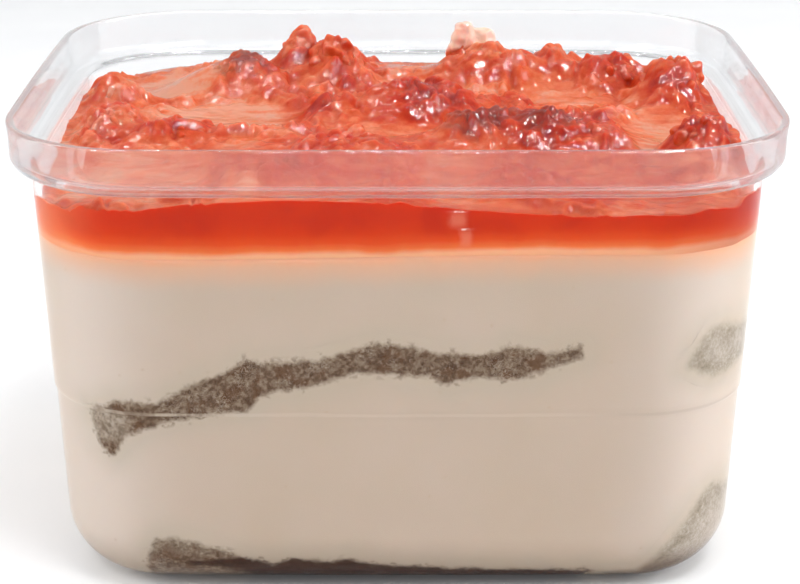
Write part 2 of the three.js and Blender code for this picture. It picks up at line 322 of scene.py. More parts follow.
def distance_to_outline(corners, x, z):
    """The distance from places (x, z) to the nearest side of a closed outline."""
    nearest = np.full(np.shape(x), np.inf)
    for (x0, z0), (x1, z1) in zip(corners, corners[1:] + corners[:1]):
        run, rise = x1 - x0, z1 - z0
        share = np.clip(((x - x0) * run + (z - z0) * rise) / (run**2 + rise**2), 0, 1)
        nearest = np.minimum(nearest, np.hypot(x - x0 - share * run, z - z0 - share * rise))
    return nearest


def inside_sheet(spec, x, y, z):
    """How far a place on the wall lies inside a sponge's edge there. Outside, it is negative."""
    _, wall, (first, last), upper, lower = spec
    at_front = wall == "front"
    between = (z < along(upper, x)) & (z > along(lower, x)) & (x > first)
    if at_front:
        between &= x < last
    away = distance_to_outline(upper + lower[::-1], x, z)
    inside = np.where(between, away, -away)
    if at_front:
        return inside
    ragged = 1.3 * noise(y, z, 0, 7, 71) * ease(y, -28, -12)
    return np.minimum(inside, last - y) - ragged - END_TAPER * ease(y, last - END_RUN, last)


# Mesh building. Points are in millimetres until the mesh is made.


def make_piece(name, points, faces, replaces, material):
    """A smooth mesh in the scene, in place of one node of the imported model."""
    mesh = bpy.data.meshes.new(name)
    mesh.from_pydata((np.asarray(points) * MM).tolist(), [], [list(map(int, f)) for f in faces])
    mesh.validate()
    mesh.shade_smooth()
    mesh.materials.append(material)
    piece = bpy.data.objects.new(name, mesh)
    scene.collection.objects.link(piece)
    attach(piece, "root")
    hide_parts(replaces)
    return piece


def add_values(piece, **values):
    """Numbers for each point of a piece, which its material reads by their names."""
    for name, numbers in values.items():
        attribute = piece.data.attributes.new(name, "FLOAT", "POINT")
        attribute.data.foreach_set("value", np.asarray(numbers, dtype=np.float32).ravel())


def quads(rows, columns, start=0, wrap=False):
    """Faces of a grid of points stored row by row. With wrap, each row closes on itself."""
    r, c = np.meshgrid(np.arange(rows - 1), np.arange(columns if wrap else columns - 1), indexing="ij")
    after = (c + 1) % columns
    a = start + r * columns + c
    b = start + r * columns + after
    d = start + (r + 1) * columns + c
    e = start + (r + 1) * columns + after
    return np.stack([a, b, e, d], axis=-1).reshape(-1, 4)


def closed_loft(rings):
    """One closed surface through rings of points, listed upwards, with a fan at each end."""
    rings = np.asarray(rings)
    count = rings.shape[1]
    points = rings.reshape(-1, 3)
    faces = list(quads(len(rings), count, wrap=True))
    low = len(points)
    points = np.vstack([points, rings[0].mean(axis=0), rings[-1].mean(axis=0)])
    top = (len(rings) - 1) * count
    for i in range(count):
        j = (i + 1) % count
        faces.append((low, j, i))
        faces.append((low + 1, top + i, top + j))
    return points, faces


def plan_square(columns, rows):
    """A grid over the tub's plan: ring share m, and place q round the outline, of each point."""
    u, v = np.meshgrid(np.linspace(-1, 1, columns + 1), np.linspace(-1, 1, rows + 1))
    m = np.maximum(np.abs(u), np.abs(v))
    safe = np.where(m == 0, 1, m)
    a, b = u / safe, v / safe
    front = b <= -1 + 1e-9
    right = (a >= 1 - 1e-9) & ~front
    back = (b >= 1 - 1e-9) & ~front & ~right
    q = np.where(front, (a + 1) / 2, 3 + (1 - b) / 2)
    q = np.where(right, 1 + (b + 1) / 2, q)
    q = np.where(back, 2 + (1 - a) / 2, q)
    return m, q


def rim_of_grid(columns, rows):
    """Indices of a grid's outer points in order, from its first corner, the way q runs."""
    width = columns + 1
    front = list(range(columns))
    right = [j * width + columns for j in range(rows)]
    back = [rows * width + columns - i for i in range(columns)]
    left = [(rows - j) * width for j in range(rows)]
    return np.array(front + right + back + left)


def fill_tub(columns, rows, top, bottom, shares, depth, sunk=0.0):
    """A filling's closed mesh: a fine top, then its skin down the wall, then its bottom.

    top(x, y) and bottom(x) give heights. shares lists the rings of the skin, where 1 is the top
    edge and 0 the bottom. sunk is how much deeper the lowest ring lies behind the tub's face.
    """
    m, q = plan_square(columns, rows)
    wall_x, wall_y = outline(q, wall_inset(JAM_TOP, depth))
    x, y = m * wall_x, m * wall_y
    z = top(x, y)
    points = [np.stack([x, y, z], axis=-1).reshape(-1, 3)]
    rim = rim_of_grid(columns, rows)
    rim_q = q.reshape(-1)[rim]
    rim_x, _, rim_z = points[0][rim].T
    exact_x, exact_y = outline(rim_q, wall_inset(rim_z, depth))
    points[0][rim] = np.stack([exact_x, exact_y, rim_z], axis=-1)
    low = bottom(rim_x)
    faces = list(quads(rows + 1, columns + 1))
    above = rim
    start = len(points[0])
    for share in shares:
        ring_z = low + (rim_z - low) * share
        extra = sunk * (1 - ease(share, 0.0, 0.3))
        ring_x, ring_y = outline(rim_q, wall_inset(ring_z, depth + extra))
        points.append(np.stack([ring_x, ring_y, ring_z], axis=-1))
        ring = start + np.arange(len(rim))
        corners = [ring, np.roll(ring, -1), np.roll(above, -1), above]
        faces += list(np.stack(corners, axis=-1))
        above = ring
        start += len(rim)
    points.append(np.array([[0.0, 0.0, float(np.mean(low))]]))
    faces += [(start, above[(i + 1) % len(rim)], above[i]) for i in range(len(rim))]
    return np.vstack(points), faces


def box_lattice(place, counts):
    """A closed box of points, bent by place(u, v, w), where each of u, v and w runs 0 to 1."""
    nu, nv, nw = counts
    shape = (nu + 1, nv + 1, nw + 1)
    ids = np.arange(np.prod(shape)).reshape(shape)
    sheets = [
        (ids[:, :, 0], True), (ids[:, :, -1], False),
        (ids[:, 0, :], False), (ids[:, -1, :], True),
        (ids[0, :, :], True), (ids[-1, :, :], False),
    ]
    faces = []
    for sheet, flip in sheets:
        a, b, c, d = sheet[:-1, :-1], sheet[1:, :-1], sheet[1:, 1:], sheet[:-1, 1:]
        order = [d, c, b, a] if flip else [a, b, c, d]
        faces.append(np.stack(order, axis=-1).reshape(-1, 4))
    faces = np.vstack(faces)
    used, compact = np.unique(faces, return_inverse=True)
    i, j, k = np.unravel_index(used, shape)
    points, values = place(i / nu, j / nv, k / nw)
    return points, compact.reshape(-1, 4), values


# Materials.


def set_stops(ramp, stops):
    """Gives a colour ramp its stops, as places with colours in linear light."""
    while len(ramp.elements) < len(stops):
        ramp.elements.new(0.5)
    for element, (at, colour) in zip(ramp.elements, stops):
        element.position = at
        element.color = (*colour, 1)


class Nodes:
    """A short way to build a material's nodes."""

    def __init__(self, name):
        self.material = bpy.data.materials.new(name)
        self.material.use_nodes = True
        self.tree = self.material.node_tree
        self.shader = self.tree.nodes["Principled BSDF"]
        self.place = self.add("ShaderNodeTexCoord").outputs["Object"]

    def add(self, kind, **settings):
        node = self.tree.nodes.new(kind)
        for key, value in settings.items():
            setattr(node, key, value)
        return node

    def link(self, out, into):
        self.tree.links.new(out, into)

    def put(self, socket, value):
        if isinstance(value, (int, float)):
            socket.default_value = value
        elif isinstance(value, tuple):
            socket.default_value = value if len(value) != 3 or socket.type == "VECTOR" else (*value, 1)
        else:
            self.link(value, socket)

    def noise(self, size_mm, detail=3, roughness=0.55, distortion=0.0):
        node = self.add("ShaderNodeTexNoise")
        self.put(node.inputs["Vector"], self.place)
        node.inputs["Scale"].default_value = 1 / (size_mm * MM)
        node.inputs["Detail"].default_value = detail
        node.inputs["Roughness"].default_value = roughness
        node.inputs["Distortion"].default_value = distortion
        return node.outputs["Fac"]

    def wander(self, size_mm, reach, **settings):
        """Noise about zero. It mostly stays within half the given reach."""
        about_zero = self.math("SUBTRACT", self.noise(size_mm, **settings), 0.5)
        return self.times(about_zero, reach)

    def cells(self, size_mm):
        node = self.add("ShaderNodeTexVoronoi")
        self.put(node.inputs["Vector"], self.place)
        node.inputs["Scale"].default_value = 1 / (size_mm * MM)
        return node.outputs["Distance"]

    def value(self, name):
        return self.add("ShaderNodeAttribute", attribute_name=name).outputs["Fac"]

    def at(self, axis):
        """The place along one axis, in millimetres."""
        split = self.add("ShaderNodeSeparateXYZ")
        self.link(self.place, split.inputs[0])
        return self.times(split.outputs[axis], 1 / MM)

    def times(self, a, b):
        return self.math("MULTIPLY", a, b)

    def plus(self, a, b):
        return self.math("ADD", a, b)

    def math(self, operation, a, b=0.0):
        node = self.add("ShaderNodeMath", operation=operation)
        self.put(node.inputs[0], a)
        self.put(node.inputs[1], b)
        return node.outputs[0]

    def spread(self, value, low, high, to_low=0.0, to_high=1.0):
        node = self.add("ShaderNodeMapRange", interpolation_type="SMOOTHSTEP")
        self.put(node.inputs["Value"], value)
        limits = {"From Min": low, "From Max": high, "To Min": to_low, "To Max": to_high}
        for key, number in limits.items():
            self.put(node.inputs[key], number)
        return node.outputs["Result"]

    def ramp(self, value, stops):
        node = self.add("ShaderNodeValToRGB")
        self.put(node.inputs["Fac"], value)
        set_stops(node.color_ramp, [(at, linear(colour)) for at, colour in stops])
        return node.outputs["Color"]

    def mix(self, share, a, b):
        """a where the share is 0 and b where it is 1. Either can be a screen colour."""
        node = self.add("ShaderNodeMix", data_type="RGBA")
        self.put(node.inputs[0], share)
        for socket, colour in ((node.inputs[6], a), (node.inputs[7], b)):
            self.put(socket, linear(colour) if isinstance(colour, tuple) else colour)
        return node.outputs[2]

    def bump(self, height, distance_mm, strength=1.0, under=None):
        node = self.add("ShaderNodeBump")
        node.inputs["Strength"].default_value = strength
        node.inputs["Distance"].default_value = distance_mm * MM
        self.put(node.inputs["Height"], height)
        if under is not None:
            self.put(node.inputs["Normal"], under)
        return node.outputs["Normal"]

    def set(self, **values):
        for key, value in values.items():
            self.put(self.shader.inputs[key.replace("_", " ")], value)


def linear(colour):
    """Linear light from a colour of 0 to 255 as a screen shows it."""
    shares = [c / 255 for c in colour]
    return tuple(s / 12.92 if s <= 0.04045 else ((s + 0.055) / 1.055) ** 2.4 for s in shares)


def make_clear_plastic(name, ior, clearness, straight):
    """Clear plastic that lets a share of what lies behind it straight through, unbent."""
    n = Nodes(name)
    n.set(Base_Color=(0.98, 0.985, 0.99), Roughness=0.02, IOR=ior, Transmission_Weight=clearness)
    n.set(Normal=n.bump(n.noise(9, detail=1), 0.06, 0.5))
    paths = n.add("ShaderNodeLightPath")
    lamps = n.math("MAXIMUM", paths.outputs["Is Shadow Ray"], paths.outputs["Is Diffuse Ray"])
    clear = n.add("ShaderNodeBsdfTransparent")
    clear.inputs["Color"].default_value = (0.93, 0.94, 0.95, 1)
    either = n.add("ShaderNodeMixShader")
    n.link(n.math("MAXIMUM", lamps, straight), either.inputs[0])
    n.link(n.shader.outputs[0], either.inputs[1])
    n.link(clear.outputs[0], either.inputs[2])
    n.link(either.outputs[0], n.tree.nodes["Material Output"].inputs["Surface"])
    return n.material


def cream_colours(n):
    """Cream with faint mottling and a few specks, greyer where sponge lies close behind it, with painted
    light and shade.
    """
    base = n.ramp(n.noise(12), [(0.3, (196, 176, 156)), (0.5, (198, 178, 159)), (0.72, (200, 180, 162))])
    # Painted light: the cream is lighter towards the ends of the front wall.
    off_middle = n.math("ABSOLUTE", n.at("X"))
    sides = n.times(n.spread(off_middle, 26, 42), n.spread(off_middle, 43, 48.5, 0.9, 0.3))
    base = n.mix(sides, base, (211, 195, 182))
    specks = n.spread(n.cells(4.2), 0.04, 0.08, 0.3, 0.0)
    base = n.mix(specks, base, (186, 158, 132))
    uneven = n.spread(n.noise(3.4, detail=4), 0.3, 0.7, 0.36, 0.6)
    base = n.mix(n.times(n.value("near_sponge"), uneven), base, (188, 174, 154))
    # Painted shade: the cream is darker towards the bottom.
    foot = n.spread(n.plus(n.at("Z"), n.wander(6, 2)), 1.5, 9, 0.95, 0)
    base = n.mix(foot, base, (165, 147, 128))
    # Painted highlight and shade: the mould line is painted light at the left and dark at the right.
    line = n.mix(n.spread(n.at("X"), 18, 36), (222, 206, 188), (176, 158, 140))
    return n.mix(n.times(mould_line(n), 0.22), base, line)


def mould_line(n):
    """1 along the fine line where the tub's two mould halves met."""
    line = MARK_HEIGHT - MARK_RISE / 2
    off = n.plus(n.math("SUBTRACT", n.at("Z"), line), n.wander(6, 0.5))
    return n.spread(n.math("ABSOLUTE", off), 0.1, 0.32, 1.0, 0.0)


def make_cream():
    n = Nodes("cream")
    depth = n.plus(n.value("below_jam"), n.wander(5, 1.4))
    tint = n.spread(depth, 0.0, 5.0, 1.0, 0.0)
    warm = n.mix(tint, cream_colours(n), (225, 173, 141))
    edge = n.spread(depth, -0.8, 1.4, 1.0, 0.0)
    n.set(Base_Color=n.mix(edge, warm, (250, 166, 128)), Roughness=0.5, IOR=1.4)
    n.set(Specular_IOR_Level=0.05, Subsurface_Weight=0.3, **CREAM_GLOW)
    return n.material


def ragged_edge(n, inside, wavy):
    """1 on the crumb and 0 off it, with an uneven border and small tufts past it."""
    rough = n.plus(wavy, n.wander(0.45, 0.8, roughness=0.7))
    body = n.spread(n.plus(inside, rough), -0.55, 0.5)
    near_edge = n.spread(n.plus(inside, n.wander(4, 1.6)), -1.2, -0.2)
    tufts = n.spread(n.noise(1.5, detail=2, roughness=0.6), 0.55, 0.66, 0.0, 0.6)
    return n.math("MAXIMUM", body, n.times(tufts, near_edge))


def crumb_colours(n, grit):
    """Brown crumb with darker spots and pale threads."""
    crumb = n.ramp(
        grit,
        [
            (0.3, (84, 62, 46)), (0.42, (101, 79, 61)), (0.5, (113, 91, 73)),
            (0.58, (127, 107, 88)), (0.7, (145, 126, 107)),
        ],
    )
    spots = n.spread(n.noise(2.6), 0.53, 0.61, 0.0, 0.9)
    crumb = n.mix(spots, crumb, n.mix(grit, (72, 46, 29), (116, 86, 62)))
    bends = n.math("ABSOLUTE", n.wander(1, 1, detail=2, distortion=1.4))
    threads = n.times(n.spread(bends, 0.0, 0.04, 0.5, 0.0), n.spread(n.noise(4), 0.45, 0.6))
    return n.mix(threads, crumb, (180, 166, 150))


def make_soaked_sponge(name):
    """Sponge at the wall: dark where it is soaked, and pale under a film of cream."""
    n = Nodes(name)
    wavy = n.wander(1.6, 1.6, roughness=0.6)
    shown = ragged_edge(n, n.value("inside"), wavy)
    patches = n.wander(1.7, 0.7, detail=4, roughness=0.65)
    grit = n.plus(n.noise(0.6, roughness=0.6), patches)
    wetness = n.value("wetness")
    wet = n.spread(n.plus(wetness, n.times(wavy, 0.3)), 0.1, 0.9, 0.0, 0.96)
    soaked = n.mix(grit, (30, 9, 2), (76, 42, 24))
    colour = n.mix(wet, crumb_colours(n, grit), soaked)
    film = n.spread(n.plus(wetness, n.wander(2.4, 0.5, detail=2)), -0.6, -0.1, 0.9, 0.0)
    creamy = n.ramp(grit, [(0.32, (122, 106, 89)), (0.5, (153, 137, 120)), (0.68, (177, 162, 146))])
    colour = n.mix(film, colour, creamy)
    # Painted highlight: the mould line, pale over the crumb.
    painted_seam_highlight = n.times(mould_line(n), n.spread(n.noise(3, detail=4), 0.4, 0.6, 0.2, 0.7))
    colour = n.mix(painted_seam_highlight, colour, (206, 190, 170))
    return finish_sponge(n, colour, grit, shown)


def make_smeared_sponge(name):
    """Sponge that lies under a film of cream: gritty and greyish, and paler away from its edge."""
    n = Nodes(name)
    inside = n.value("inside")
    shown = n.spread(n.plus(inside, n.wander(1.4, 0.8)), -0.9, 1.1)
    patches = n.wander(2.2, 1, detail=4, roughness=0.65)
    grit = n.plus(n.noise(0.5, detail=4, roughness=0.75), n.times(patches, 0.5))
    rim = n.ramp(grit, [(0.25, (132, 119, 101)), (0.5, (159, 146, 129)), (0.75, (187, 175, 160))])
    pale = n.ramp(grit, [(0.25, (161, 148, 133)), (0.5, (182, 169, 156)), (0.75, (198, 186, 175))])
    colour = n.mix(n.spread(n.plus(inside, n.times(patches, 4)), 0.2, 4.2), rim, pale)
    wet = n.spread(n.plus(n.value("wetness"), n.times(patches, 0.4)), 0.1, 0.95)
    colour = n.mix(wet, colour, n.mix(grit, (62, 40, 26), (132, 110, 90)))
    return finish_sponge(n, colour, grit, shown)


def finish_sponge(n, colour, grit, shown):
    """The sponge's surface. Where the crumb isn't shown, it is the cream that lies beside it."""
    n.set(Base_Color=n.mix(shown, cream_colours(n), colour), Roughness=0.6, IOR=1.4)
    n.set(Specular_IOR_Level=0.05, Normal=n.bump(n.times(grit, shown), 0.12, 0.5))
    n.set(Subsurface_Weight=n.spread(shown, 0.0, 1.0, 0.3, 0.05), **CREAM_GLOW)
    return n.material


def make_jam(name):
    """Wet translucent jam: peach where it is thin, red where thick, brownish on the petals, with painted
    sheen and shade.
    """
    n = Nodes(name)
    cloud = n.wander(4.5, 0.6, detail=4)
    fine = n.wander(0.9, 0.45, detail=4, roughness=0.6)
    redness = n.plus(n.value("redness"), n.plus(cloud, fine))
    body = n.ramp(
        redness,
        [
            (0.0, (208, 140, 112)), (0.2, (210, 112, 74)), (0.42, (196, 82, 42)),
            (0.68, (182, 50, 14)), (0.98, (146, 26, 8)),
        ],
    )
    brown = n.spread(n.plus(n.value("brownness"), n.times(cloud, 0.8)), 0.3, 0.85, 0.0, 0.88)
    colour = n.mix(brown, body, (116, 40, 26))
    pale = n.spread(n.plus(n.value("paleness"), n.times(fine, 1.2)), 0.25, 0.95)
    colour = n.mix(pale, colour, (236, 198, 180))
    n.set(Base_Color=colour, IOR=1.42, Specular_IOR_Level=0.26)
    n.set(Roughness=n.spread(n.noise(2.4), 0.35, 0.7, 0.015, 0.05))
    beads = n.times(n.noise(1.1, detail=1), n.value("chunky"))
    n.set(Normal=n.bump(beads, 0.5, 0.5, under=n.bump(n.noise(2.4, detail=1), 0.5, 0.4)))
    n.set(Subsurface_Weight=0.65, Subsurface_Scale=0.0016, Subsurface_Radius=(1.0, 0.3, 0.18))
    return n.material


def patches_with_highlights(n):
    """Two small pale patches on the jam at the wall, each with a painted highlight along its top."""
    pale, painted_highlight = 0.0, 0.0
    across = n.plus(n.at("X"), n.wander(1.2, 0.8))
    dots = n.spread(n.noise(0.7, detail=1), 0.42, 0.54, 0.1, 0.9)
    for (middle_x, middle_z), (half_x, half_z) in PALE_PATCHES:
        beside = n.math("ABSOLUTE", n.math("SUBTRACT", across, middle_x))
        up = n.math("SUBTRACT", n.at("Z"), middle_z)
        within = n.spread(beside, 0.3 * half_x, 1.15 * half_x, 1.0, 0.0)
        body = n.spread(n.math("ABSOLUTE", up), 0.2 * half_z, 1.15 * half_z, 0.55, 0.0)
        bar = n.spread(n.math("ABSOLUTE", n.math("SUBTRACT", up, 0.8 * half_z)), 0.04, 0.19, 1.0, 0.0)
        pale = n.math("MAXIMUM", n.times(within, body), pale)
        painted_highlight = n.math("MAXIMUM", n.times(within, n.times(bar, dots)), painted_highlight)
    return pale, painted_highlight


def make_jam_at_wall():
    """The jam as it lies against the clear wall: deep red above, thinning to peach on the cream."""
    n = Nodes("jam_at_wall")
    above = n.plus(n.value("above_cream"), n.plus(n.wander(7, 1.4), -0.3))
    band = n.ramp(
        n.times(above, 0.2),
        [
            (0.0, (246, 172, 132)), (0.14, (236, 116, 60)), (0.34, (225, 78, 26)),
            (0.6, (213, 57, 14)), (0.95, (206, 50, 16)),
        ],
    )
    clouds = n.spread(n.noise(9, roughness=0.6, distortion=0.8), 0.42, 0.62, 0.0, 0.75)
    near_top = n.spread(n.value("above_cream"), 1.6, 4.6)
    band = n.mix(n.times(clouds, near_top), band, (192, 40, 14))
    colour = n.mix(n.spread(n.at("X"), -50, -37, 0.7, 0.0), band, (230, 124, 74))
    # Painted shade: the band is darker towards its right end.
    colour = n.mix(n.spread(n.at("X"), 30, 48, 0.0, 0.6), colour, (150, 32, 12))
    pale, painted_highlight = patches_with_highlights(n)
    colour = n.mix(pale, colour, (236, 136, 106))
    # Painted highlight: a bright broken bar along the top of each patch.
    colour = n.mix(painted_highlight, colour, (252, 226, 214))
    n.set(Base_Color=colour, Roughness=0.5, IOR=1.4, Specular_IOR_Level=0.05)
    n.set(Subsurface_Weight=0.4, Subsurface_Scale=0.002, Subsurface_Radius=(1.0, 0.3, 0.15))
    return n.material


# The pieces.


def bend(inset, z, radius, start, end, steps):
    """An arc of the tub's section, from one angle to another, as (inset, height)."""
    turns = np.radians(np.linspace(start, end, steps + 1))
    return list(zip(inset + radius * np.cos(turns), z + radius * np.sin(turns)))


def tub_body(depth):
    """One face of the tub's base fillet and wall, listed upwards, with fine steps at the mark."""
    foot = float(wall_inset(BASE_FILLET, 0)) + BASE_FILLET
    heights = np.concatenate(
        [
            np.linspace(BASE_FILLET + 1.5, MARK_HEIGHT - 0.7, 9),
            np.linspace(MARK_HEIGHT - 0.5, MARK_HEIGHT + 0.1, 7),
            np.linspace(MARK_HEIGHT + 0.4, CREASE - 0.6, 12),
        ]
    )
    wall = [(float(wall_inset(z, depth)), z) for z in heights]
    return bend(foot, BASE_FILLET, BASE_FILLET - depth, -90, -180, 22) + wall


def tub_profile():
    """The shell's section, from the underside's edge round to the floor."""
    lip_inset = LIP_LEAN + LIP_FILLET
    lip_z = CREASE + LIP_FILLET
    outer = tub_body(0)
    outer += bend(LIP_OVERHANG - CREASE_ROUND, CREASE - CREASE_ROUND, CREASE_ROUND, 0, 90, 6)[1:]
    outer += bend(lip_inset - 0.2, lip_z, LIP_FILLET, -90, -172, 16) + LIP_FACE
    rim = bend(WALL / 2, HEIGHT - WALL / 2, WALL / 2, 180, 0, 10)
    inner = [(WALL + inset, z) for inset, z in reversed(LIP_FACE)]
    inner += bend(lip_inset, lip_z, LIP_FILLET - WALL, -180, -92, 12)
    inner += bend(LIP_OVERHANG - MARK_STEP + 0.3, CREASE + 0.1, WALL - 0.1, 88, 8, 8)
    return outer + rim + inner + tub_body(WALL)[::-1]


def make_tub():
    q = np.arange(TUB_COLUMNS) * 4 / TUB_COLUMNS
    rings = []
    for inset, z in tub_profile():
        x, y = outline(q, inset)
        rings.append(np.stack([x, y, np.full(TUB_COLUMNS, z)], axis=-1))
    points, faces = closed_loft(rings)
    wall = make_clear_plastic("clear_wall", ior=1.18, clearness=1.0, straight=0.0)
    lip = make_clear_plastic("clear_lip", ior=1.4, clearness=0.955, straight=0.32)
    tub = make_piece("clear_tub", points, faces, "tub", wall)
    tub.data.materials.append(lip)
    height = np.array([points[list(face), 2].mean() for face in faces])
    tub.data.polygons.foreach_set("material_index", (height > CREASE + 0.3).astype(np.int32))


def cream_surface(x):
    return CREAM_TOP + CREAM_SWING * np.sin(x * math.pi / CREAM_HALF_WAVE)


def cream_floor(x):
    return np.full(x.shape, CREAM_DEPTH)


def make_cream_piece():
    shares = np.append(np.linspace(0.985, 0.2, 60), np.sin(np.linspace(0.2, 0, 26)))
    points, faces = fill_tub(
        CREAM_COLUMNS, CREAM_ROWS, lambda x, y: cream_surface(x), cream_floor, shares, CREAM_DEPTH
    )
    piece = make_piece("cream_body", points, faces, "cream", make_cream())
    x, y, z = points.T
    add_values(piece, below_jam=cream_surface(x) - z, near_sponge=sponge_nearness(x, y, z))


def sponge_nearness(x, y, z):
    """1 on a sponge's edge, falling to 0 a few millimetres off it."""
    inside = np.max([inside_sheet(spec, x, y, z) for spec in SPONGES], axis=0)
    return ease(inside, -HALO, 0.0)


def thin_share(x, y):
    """Near 1 where the jam lies thin and smooth."""
    share = np.zeros(np.shape(x))
    for middle, half, strength in THIN_JAM:
        away = off_squared(x, y, middle, half)
        share = np.maximum(share, strength * np.exp(-(away**1.5)))
    return share


def from_wall(x, y):
    """How far a place in the jam lies from the nearest straight wall."""
    inset = float(wall_inset(JAM_TOP, JAM_DEPTH))
    return np.minimum(RIM_WIDTH / 2 - inset - np.abs(x), RIM_DEPTH / 2 - inset - np.abs(y))


def skirt_climb(fruit):
    """How far up a lump the jam's skirt climbs: less up a thin or a tall one."""
    if fruit.half[1] < THIN:
        return 0.45
    return 0.6 if fruit.half[2] > TALL else 0.88


def jam_level(x, y):
    """The jam's height without its small lumps."""
    swell = SWELL * np.cos((x + SWELL_SHIFT) * 2 * math.pi / SWELL_LENGTH) * ease(-y, -10, 40)
    swell = swell - 0.8 * ease(np.abs(x), 38, 47) * ease(-y, -5, 20)
    (cx, cy), (rx, ry), height = HEAP
    heap = height * np.exp(-(((x - cx) / rx) ** 4) - ((y - cy) / ry) ** 2)
    level = JAM_TOP - 0.2 + swell + heap
    skirt = np.zeros(np.shape(x))
    climbs = [(f.place, f.half, skirt_climb(f) * (f.top - level)) for f in FRUIT]
    for middle, half, rise in climbs + MOUNDS:
        away = off_squared(x, y, middle, half)
        skirt = np.maximum(skirt, rise * np.exp(-SKIRT_FALL * away**1.4))
    return level + skirt * (0.3 + 0.7 * ease(from_wall(x, y), 0, 4.5))


def fan_folds(x, y):
    """Folds that spread like a fan from the top of the dark lump at the right."""
    (cx, cy), reach = FAN
    turn = np.arctan2(y - cy, x - cx)
    away = np.hypot(x - cx, y - cy) / reach
    strength = ease(away, 0.05, 0.35) * np.exp(-(away**3))
    return 0.42 * strength * np.abs(np.sin(4.5 * turn + 1.5 * away))


def scatter_chips():
    """Small chips of fruit and petal in the jam, few where it lies thin."""
    rng = np.random.default_rng(11)
    chips = []
    while len(chips) < CHIP_COUNT:
        x, y = rng.uniform(-46, 46), rng.uniform(-38, 38)
        size = rng.uniform(0.8, 2.1)
        height = size * rng.uniform(0.3, 0.65)
        corners = rng.uniform(0, 2 * math.pi) + np.arange(6) * math.pi / 3 + rng.uniform(-0.4, 0.4, 6)
        reach = rng.uniform(0.65, 1.1, 6)
        lean = rng.uniform(-0.6, 0.6, 2)
        tone = rng.uniform(-0.12, 0.14)
        if rng.random() > 1.2 * thin_share(np.array(x), np.array(y)):
            chips.append((x, y, size, height, corners, reach, lean, tone))
    return chips


def chip_relief(x, y, chips):
    """How far the chips raise the jam, and how much redder they make it."""
    rise = np.zeros(x.shape)
    tone = np.zeros(x.shape)
    for cx, cy, size, height, corners, reach, lean, red in chips:
        near = (np.abs(x - cx) < 1.5 * size) & (np.abs(y - cy) < 1.5 * size)
        u, v = (x[near] - cx) / size, (y[near] - cy) / size
        sides = [(u * math.cos(a) + v * math.sin(a)) / r for a, r in zip(corners, reach)]
        share = np.sqrt(1 - np.clip(np.max(sides, axis=0), 0.0, 1.0) ** 2)
        raised = height * share * (1 + lean[0] * u + lean[1] * v)
        wins = raised > rise[near]
        rise[near] = np.where(wins, raised, rise[near])
        tone[near] = np.where(wins, red * share, tone[near])
    return rise, tone


def chunky_share(x, y):
    """Near 1 where the jam is full of small lumps, and 0 where it lies smooth."""
    near_fruit = np.zeros(np.shape(x))
    for fruit in FRUIT:
        away = off_squared(x, y, fruit.place, fruit.half, wider=1.5)
        near_fruit = np.maximum(near_fruit, np.exp(-0.6 * away**2))
    clusters = ease(noise(x, y, 0, 8, 61), -0.25, 0.35)
    share = np.maximum(clusters, near_fruit)
    return share * (1 - ease(thin_share(x, y), 0.1, 0.5))


def round_lumps(x, y, chunky):
    """Soft swells with round lumps and beads on them, and crisp valleys in between."""
    warp_x = x + 1.4 * noise(x, y, 0, 4, 11)
    warp_y = y + 1.4 * noise(x, y, 0, 4, 12)
    swells = noise(warp_x, warp_y, 0, 9, 21)
    lumps, beads, grains = (
        ridges(warp_x, warp_y, 0, length, seed) for length, seed in ((4.2, 31), (1.9, 41), (1.0, 43))
    )
    coarse = 0.35 * swells + (0.25 + 0.4 * chunky) * lumps
    return coarse + (0.06 + 0.6 * chunky) * beads + 0.2 * chunky * grains


def jam_skin(x, y, chips):
    """Height, and the relief, redness and chunkiness of the small lumps."""
    wall = from_wall(x, y)
    thin = thin_share(x, y)
    chunky = chunky_share(x, y)
    rough = (0.3 + 0.7 * ease(wall, 0, 3)) * (1 - 0.85 * thin)
    rise, tone = chip_relief(x, y, chips)
    relief = rough * (round_lumps(x, y, chunky) + rise * (0.35 + 0.65 * chunky))
    climb = 0.3 * np.exp(-np.maximum(wall, 0) / 0.7)
    level = jam_level(x, y) + rough * fan_folds(x, y) - 0.9 * thin + relief + climb
    return level, relief, tone, chunky


def jam_tint(x, y):
    """How red and how brown the jam is at a place, its small lumps left out."""
    near = np.zeros(np.shape(x))
    brown = np.zeros(np.shape(x))
    for fruit in FRUIT:
        away = off_squared(x, y, fruit.place, fruit.half, wider=2)
        reach = fruit.red * np.exp(-0.6 * away**1.4)
        near = near + reach if fruit.red < 0 else np.maximum(near, reach)
        brown = np.maximum(brown, fruit.brown * np.exp(-1.1 * away**1.6))
    thin = thin_share(x, y)
    streaks = noise(x, y, 0, 7, 51) * 0.12 + noise(x * 0.25, y, 0, 1.0, 52) * 0.09
    front = ease(-y, 17, 27)
    orange = np.maximum(0.12 * ease(-x, 8, 24), 0.1 * ease(y, 12, 26))
    redness = 0.34 + 0.26 * near + 0.12 * front - orange - 0.3 * thin + streaks
    return redness, np.maximum(brown, 0.35 * front) * (1 - np.minimum(thin, 1))


def steepness(piece):
    """0 on flat places, 1 on steep ones, for each of a mesh's points."""
    normals = np.empty(len(piece.data.vertices) * 3)
    piece.data.vertex_normals.foreach_get("vector", normals)
    return 1 - ease(np.abs(normals.reshape(-1, 3)[:, 2]), 0.35, 0.97)


